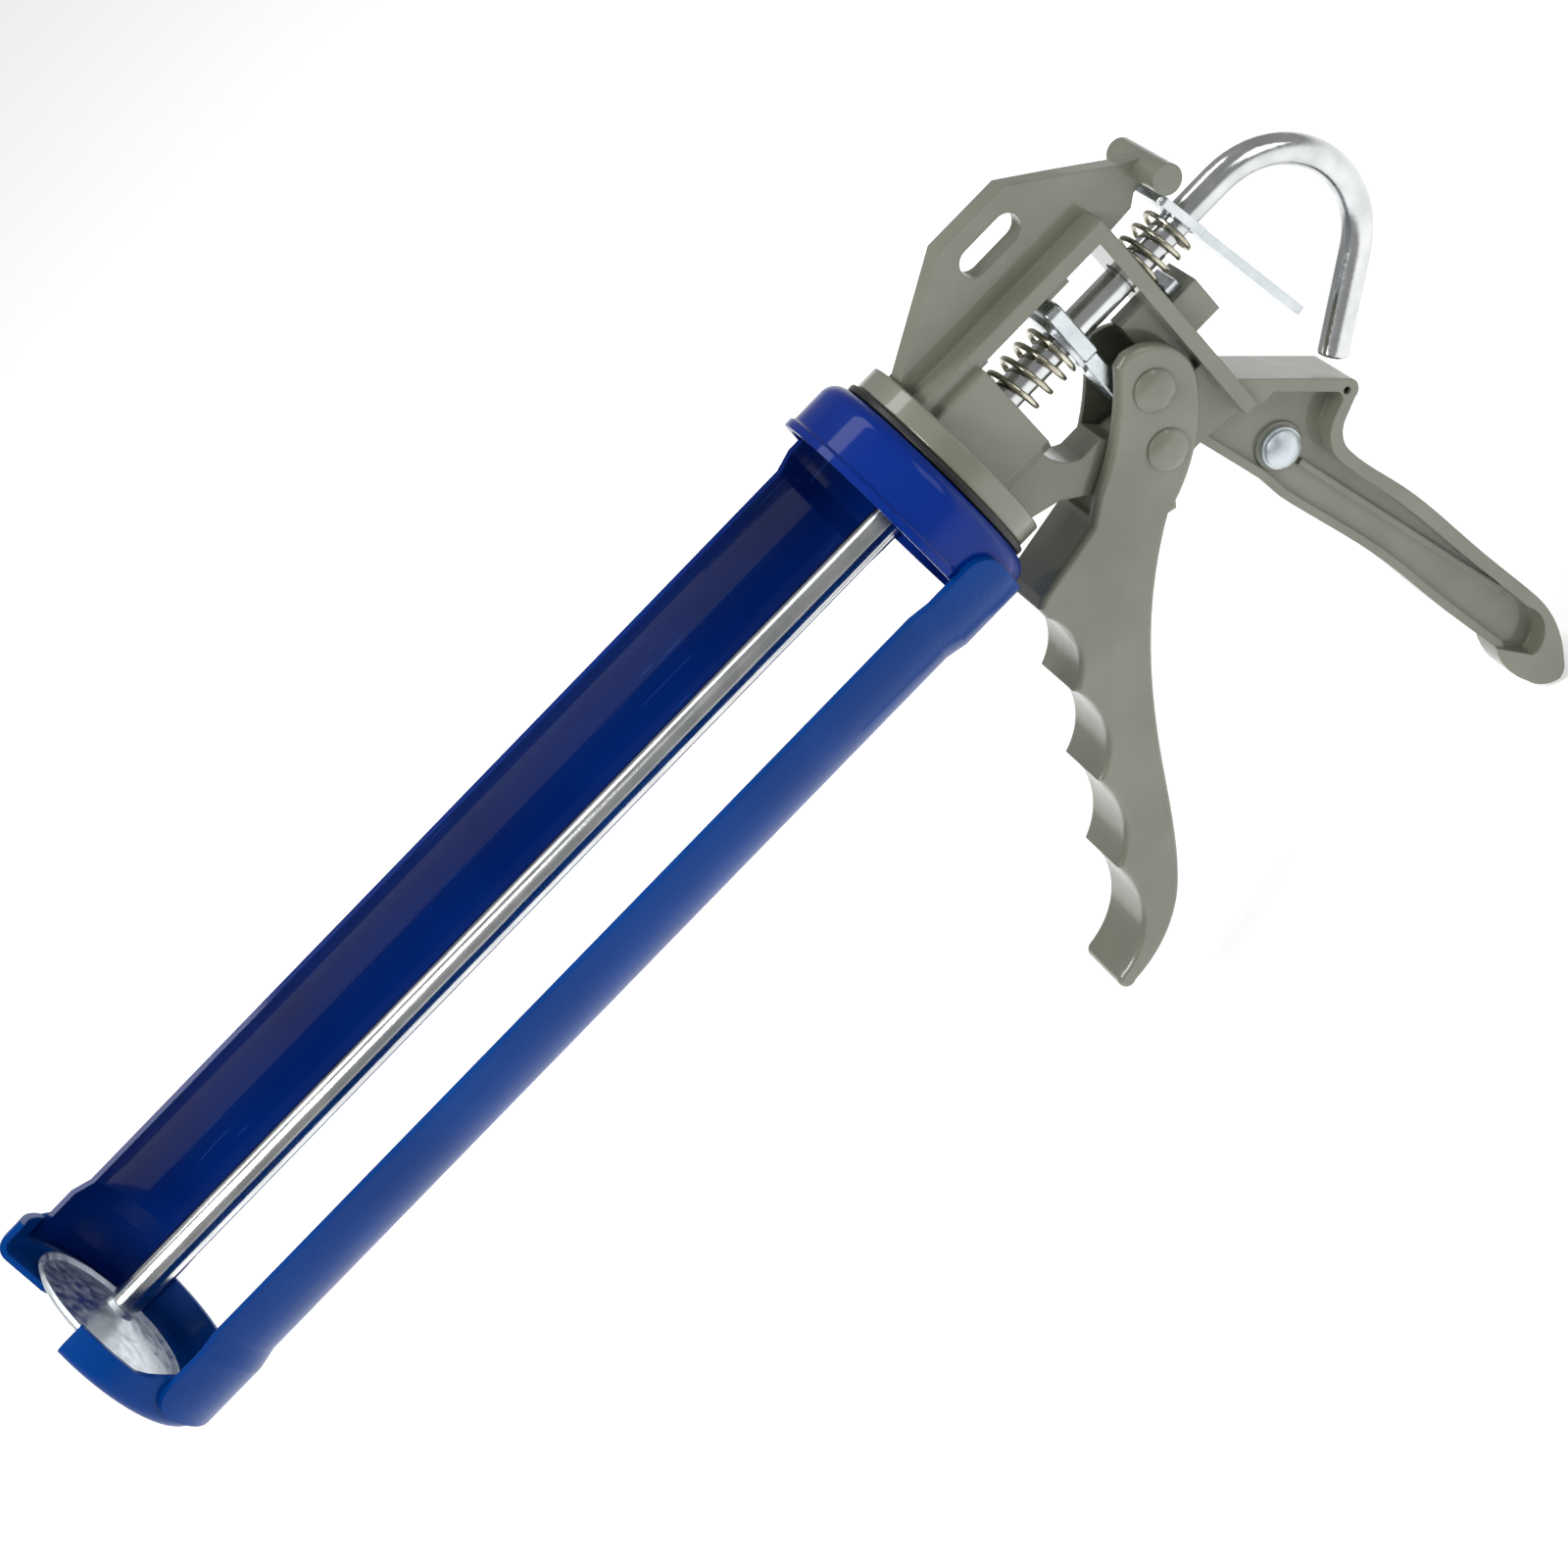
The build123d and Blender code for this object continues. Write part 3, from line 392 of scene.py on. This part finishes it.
@dataclass
class Cradle:
    """The turning cradle: collar, trough, rail and slotted nose, all pressed and spot-welded."""

    radius_mm: float = 30.8
    mark_radius_mm: float = 1.7
    rail_marks: tuple[tuple[float, float], ...] = ((3.4, 205.0), (-236.0, 205.0))

    def dress(self, frame: dict) -> None:
        """Paint the four pressings; the collar and the trough get darker copies of the same blue enamel,
        which is painted shade.
        """
        outside = StovedEnamel("blue_stoved_enamel", "#003A84", "#003378", gloss=0.12).make()
        # painted shade: the collar's enamel is a darker copy of the rail's blue
        cup = StovedEnamel("blue_stoved_enamel_collar_painted_shade", "#00287E", "#002070").make()
        # painted shade: the trough's inside is a darker copy of the same blue enamel; its rubbed scratches
        # are real wear
        inside = StovedEnamel("blue_stoved_enamel_scratched_painted_shade", "#00246C", "#001C5E", gloss=0.18,
                              scratched=True).make()
        dress(("cradle_rail", "cradle_nose"), outside, frame)
        dress(("cradle_collar",), cup, frame)
        dress(("cradle_trough",), inside, frame)

    def build(self) -> list[bpy.types.Object]:
        """Add the small round marks that the spot welder left on the rail's ends.

        A mark is a shallow saucer on a cylinder of radius R about the rod: height h(r) over the sheet is
        h0 * cos^2(pi r / 2a) for a ring of radius r inside the mark's radius a, less a dent in its middle.
        """
        made = []
        ring = np.linspace(0.02, 1.0, MARK_RINGS)[:, None]
        turn = np.linspace(0, 2 * np.pi, MARK_SPOKES, endpoint=False)[None, :]
        height = 0.16 * np.cos(ring * np.pi / 2) ** 2 - 0.30 * np.exp(-(ring / 0.42) ** 2)
        for number, (x, angle) in enumerate(self.rail_marks):
            along = x + self.mark_radius_mm * ring * np.cos(turn)
            swing = np.radians(angle) + self.mark_radius_mm * ring * np.sin(turn) / self.radius_mm
            out = self.radius_mm + 0.02 + height + np.zeros_like(turn)
            points = np.stack([along / 1000 - GRIP_BACK, out * np.cos(swing) / 1000,
                               out * np.sin(swing) / 1000 + GRIP_DROP], axis=-1).reshape(-1, 3)
            faces = grid_faces(MARK_RINGS, MARK_SPOKES, True)
            made.append(new_piece(f"rail_weld_mark_{number + 1}", points, faces))
        return made


@dataclass
class Coil:
    """A round-wire compression spring about the rod, with its last turns closed up.

    The centre line is a helix (x, r cos t, r sin t). The turn angle t runs evenly, and x follows a pitch that
    falls to the wire's own thickness over the end turns, so the ends close.
    """

    name: str
    node: str
    ends: tuple[str, str]
    start_mm: float
    end_mm: float
    radius_mm: float
    wire_mm: float
    turns: float
    closed_turns: float = 0.9
    phase: float = 0.0
    sides: int = 12
    steps_per_turn: int = 48

    def centre_line(self) -> np.ndarray:
        """Points of the wire's centre line in millimetres from the rod's axis, shape (n, 3)."""
        count = int(self.turns * self.steps_per_turn) + 1
        turn = np.linspace(0.0, self.turns, count)
        free = np.clip(np.minimum(turn, self.turns - turn) / self.closed_turns, 0.0, 1.0)
        pitch = 0.18 + 0.82 * free ** 2 * (3 - 2 * free)
        climb = np.concatenate([[0.0], np.cumsum((pitch[1:] + pitch[:-1]) / 2)])
        length = self.end_mm - self.start_mm - self.wire_mm
        x = self.start_mm + self.wire_mm / 2 + climb / climb[-1] * length
        r = self.radius_mm - self.wire_mm / 2
        angle = 2 * np.pi * turn + self.phase
        return np.stack([x, r * np.cos(angle), r * np.sin(angle)], axis=-1)

    def build(self) -> bpy.types.Object:
        """Carry a circle of the wire's radius along the centre line, with rounded ends.

        Each ring stands square to the tangent T, spanned by the outward direction N and B = T x N:
        P = C + a (N cos u + B sin u), where a shrinks to a point over the last half wire at each end.
        """
        line = self.centre_line()
        tangent = np.gradient(line, axis=0)
        tangent /= np.linalg.norm(tangent, axis=1, keepdims=True)
        outward = line * np.array([0.0, 1.0, 1.0])
        outward -= tangent * (outward * tangent).sum(axis=1, keepdims=True)
        outward /= np.linalg.norm(outward, axis=1, keepdims=True)
        across = np.cross(tangent, outward)
        swell = np.linspace(0.02, np.pi / 2, CAP_RINGS)
        cap = np.sin(swell)
        reach = (1 - np.cos(swell)) * self.wire_mm / 2
        centre = np.concatenate([line[0] + tangent[0] * (reach - self.wire_mm / 2)[:, None], line[1:-1],
                                 line[-1] - tangent[-1] * (reach - self.wire_mm / 2)[::-1, None]])
        a = np.concatenate([cap, np.ones(len(line) - 2), cap[::-1]]) * self.wire_mm / 2
        first = np.repeat(outward[:1], CAP_RINGS, axis=0)
        last = np.repeat(outward[-1:], CAP_RINGS, axis=0)
        normal = np.concatenate([first, outward[1:-1], last])
        side = np.concatenate([np.repeat(across[:1], CAP_RINGS, axis=0), across[1:-1],
                               np.repeat(across[-1:], CAP_RINGS, axis=0)])
        u = np.linspace(0, 2 * np.pi, self.sides, endpoint=False)
        circle = (normal[:, None, :] * np.cos(u)[None, :, None]
                  + side[:, None, :] * np.sin(u)[None, :, None])
        rings = centre[:, None, :] + a[:, None, None] * circle
        points = rings.reshape(-1, 3) / 1000 + np.array([-GRIP_BACK, 0.0, GRIP_DROP])
        faces = grid_faces(len(centre), self.sides, True)[:, ::-1]
        piece = new_piece(self.name, points, faces)
        self.close_ends(piece, len(centre))
        return piece

    def close_ends(self, piece: bpy.types.Object, rings: int) -> None:
        """Fill the tiny ring left at each end of the wire.

        Args:
            piece: The spring.
            rings: How many rings it has.
        """
        shape = bmesh.new()
        shape.from_mesh(piece.data)
        shape.verts.ensure_lookup_table()
        first = [shape.verts[i] for i in range(self.sides)]
        last = [shape.verts[(rings - 1) * self.sides + i] for i in range(self.sides)]
        shape.faces.new(first)
        shape.faces.new(list(reversed(last)))
        bmesh.ops.recalc_face_normals(shape, faces=shape.faces)
        shape.to_mesh(piece.data)
        shape.free()

    def fit(self, material: bpy.types.Material) -> bpy.types.Object:
        """Build the spring, dress it, and hide the CAD spring it replaces."""
        piece = self.build()
        piece.data.materials.append(material)
        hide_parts(self.node)
        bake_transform(piece)
        return piece


@dataclass
class Casting:
    """The cast frame with its handle, and the trigger."""

    painted: tuple[str, ...] = ("frame_body", "trigger")

    def dress(self, frame: dict) -> None:
        """Paint both castings."""
        paint = PaintedDieCasting("olive_grey_gloss_paint", "#747768", "#6B6E5F").make()
        dress(self.painted, paint, frame)
        dress(("trigger_pivot_pin", "trigger_push_pin"), paint, frame)


@dataclass
class Ironwork:
    """Everything zinc-plated: rod, disc, plates, washers and the handle's pin."""

    drawn: tuple[str, ...] = ("push_rod",)
    stamped: tuple[str, ...] = ("drive_plate", "catch_plate", "catch_stop", "drive_washer", "thrust_washer",
                                "plunger_washer")
    spun: tuple[str, ...] = ("plunger_disc", "handle_pin", "handle_pin_washers", "retaining_ring")

    def dress(self, frame: dict) -> None:
        """Plate the rod with drawn lines, and the rest with the marks of stamping."""
        rod = BrightZinc("bright_zinc_on_drawn_steel", "#D6D8D8", "#C2C5C6", 0.15, Lay.ALONG_ROD,
                         line_mm=0.5, rub=0.30).make()
        plate = BrightZinc("bright_zinc_on_stamped_steel", "#CDD2D5", "#BCC3C7", 0.22,
                           line_mm=1.4, rub=0.18).make()
        disc = BrightZinc("bright_zinc_on_pressed_steel", "#D2D8DC", "#C6CED3", 0.40,
                          line_mm=2.6, rub=0.05).make()
        dress(self.drawn, rod, frame)
        dress(self.stamped, plate, frame)
        dress(self.spun, disc, frame)


@dataclass
class Studio:
    """Pale floor, soft light and the camera."""

    floor_drop: float = -0.0630
    eye: tuple[float, float, float] = (-0.1087, -0.6215, 0.4910)
    look: tuple[float, float, float] = (-0.04, 0.828, -0.559)
    right: tuple[float, float, float] = (0.697, -0.378, -0.609)
    lens_mm: float = 78.75
    lights: tuple[tuple[str, tuple, tuple, float, tuple], ...] = field(default_factory=lambda: (
        ("key", (-0.55, -0.35, 0.95), (-0.1, 0.0, 0.1), 7.5, (0.40, 0.40)),
        ("fill", (0.75, -0.75, 0.55), (0.0, 0.0, 0.05), 2.2, (0.6, 0.6)),
        ("top", (-0.05, 0.35, 1.05), (-0.1, 0.0, 0.1), 4.0, (1.0, 0.3)),
    ))

    def floor(self) -> None:
        """A wide flat floor of matt white paper."""
        paper = bpy.data.materials.new("matt_white_paper")
        paper.use_nodes = True
        shader = paper.node_tree.nodes["Principled BSDF"]
        shader.inputs["Base Color"].default_value = linear("#FAFAF9")
        shader.inputs["Roughness"].default_value = 0.9
        shader.inputs["Emission Color"].default_value = linear("#FFFFFF")
        shader.inputs["Emission Strength"].default_value = 0.38
        corners = np.array([(-6.0, -6.0), (6.0, -6.0), (6.0, 6.0), (-6.0, 6.0)])
        points = np.column_stack([corners, np.full(4, self.floor_drop)])
        sheet = new_piece("floor", points, np.array([[0, 1, 2, 3]]))
        sheet.data.materials.append(paper)

    def light(self) -> None:
        """An even pale surround and three soft panels."""
        world = bpy.data.worlds.new("pale_surround")
        bpy.context.scene.world = world
        world.use_nodes = True
        background = world.node_tree.nodes["Background"]
        background.inputs["Color"].default_value = linear("#FFFFFF")
        background.inputs["Strength"].default_value = 0.34
        for name, spot, target, power, size in self.lights:
            lamp = bpy.data.lights.new(f"{name}_panel", "AREA")
            lamp.shape = "RECTANGLE"
            lamp.size, lamp.size_y = size
            lamp.energy = power
            holder = bpy.data.objects.new(f"{name}_panel", lamp)
            holder.location = spot
            aim = Vector(target) - Vector(spot)
            holder.rotation_euler = aim.to_track_quat("-Z", "Y").to_euler()
            bpy.context.scene.collection.objects.link(holder)

    def camera(self) -> None:
        """Stand the camera above the gun's left side, rolled so the rod runs up across the frame."""
        look = Vector(self.look).normalized()
        right = Vector(self.right)
        right = (right - look * right.dot(look)).normalized()
        up = right.cross(look)
        turn = Matrix((right, up, -look)).transposed().to_4x4()
        lens = bpy.data.cameras.new("camera")
        lens.lens = self.lens_mm
        lens.sensor_width = 36.0
        lens.clip_start, lens.clip_end = 0.01, 50.0
        holder = bpy.data.objects.new("camera", lens)
        holder.matrix_world = Matrix.Translation(self.eye) @ turn
        bpy.context.scene.collection.objects.link(holder)
        bpy.context.scene.camera = holder
        bpy.context.scene.view_settings.view_transform = "Standard"


def corners(box: tuple[Vector, Vector]) -> list[list[float]]:
    """A box's two corners as plain lists."""
    return [list(map(float, box[0])), list(map(float, box[1]))]


def main() -> None:
    """Build and dress the gun, then set up the studio."""
    logging.basicConfig(level=logging.INFO, format="%(name)s: %(message)s")
    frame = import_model()
    cradle = Cradle()
    cradle.dress(frame)
    enamel = bpy.data.materials["blue_stoved_enamel"]
    for mark in cradle.build():
        mark.data.materials.append(enamel)
        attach(mark, "cradle")
    LOG.info("cradle dressed, weld marks added")
    Casting().dress(frame)
    LOG.info("castings painted")
    Ironwork().dress(frame)
    LOG.info("ironwork plated")
    dress(("friction_ring",), MouldedAcetal("black_moulded_acetal", "#1A1A1B").make(), frame)
    LOG.info("friction ring dressed")
    wire = BrightZinc("zinc_plated_spring_wire", "#CFCBBB", "#A9A491", 0.20, Lay.ALONG_WIRE, 0.4, 0.4).make()
    Coil("return_coil", "return_spring", ("frame", "drive"), 34.6, 52.0, 6.8, 1.4, 4.6, phase=0.6).fit(wire)
    Coil("catch_coil", "catch_spring", ("frame", "catch"), 75.8, 87.3, 6.4, 1.2, 3.5, phase=2.1).fit(wire)
    LOG.info("springs coiled")
    studio = Studio()
    studio.floor()
    studio.light()
    studio.camera()
    LOG.info("studio set")
    bpy.context.view_layer.update()


if __name__ == "__main__":
    main()
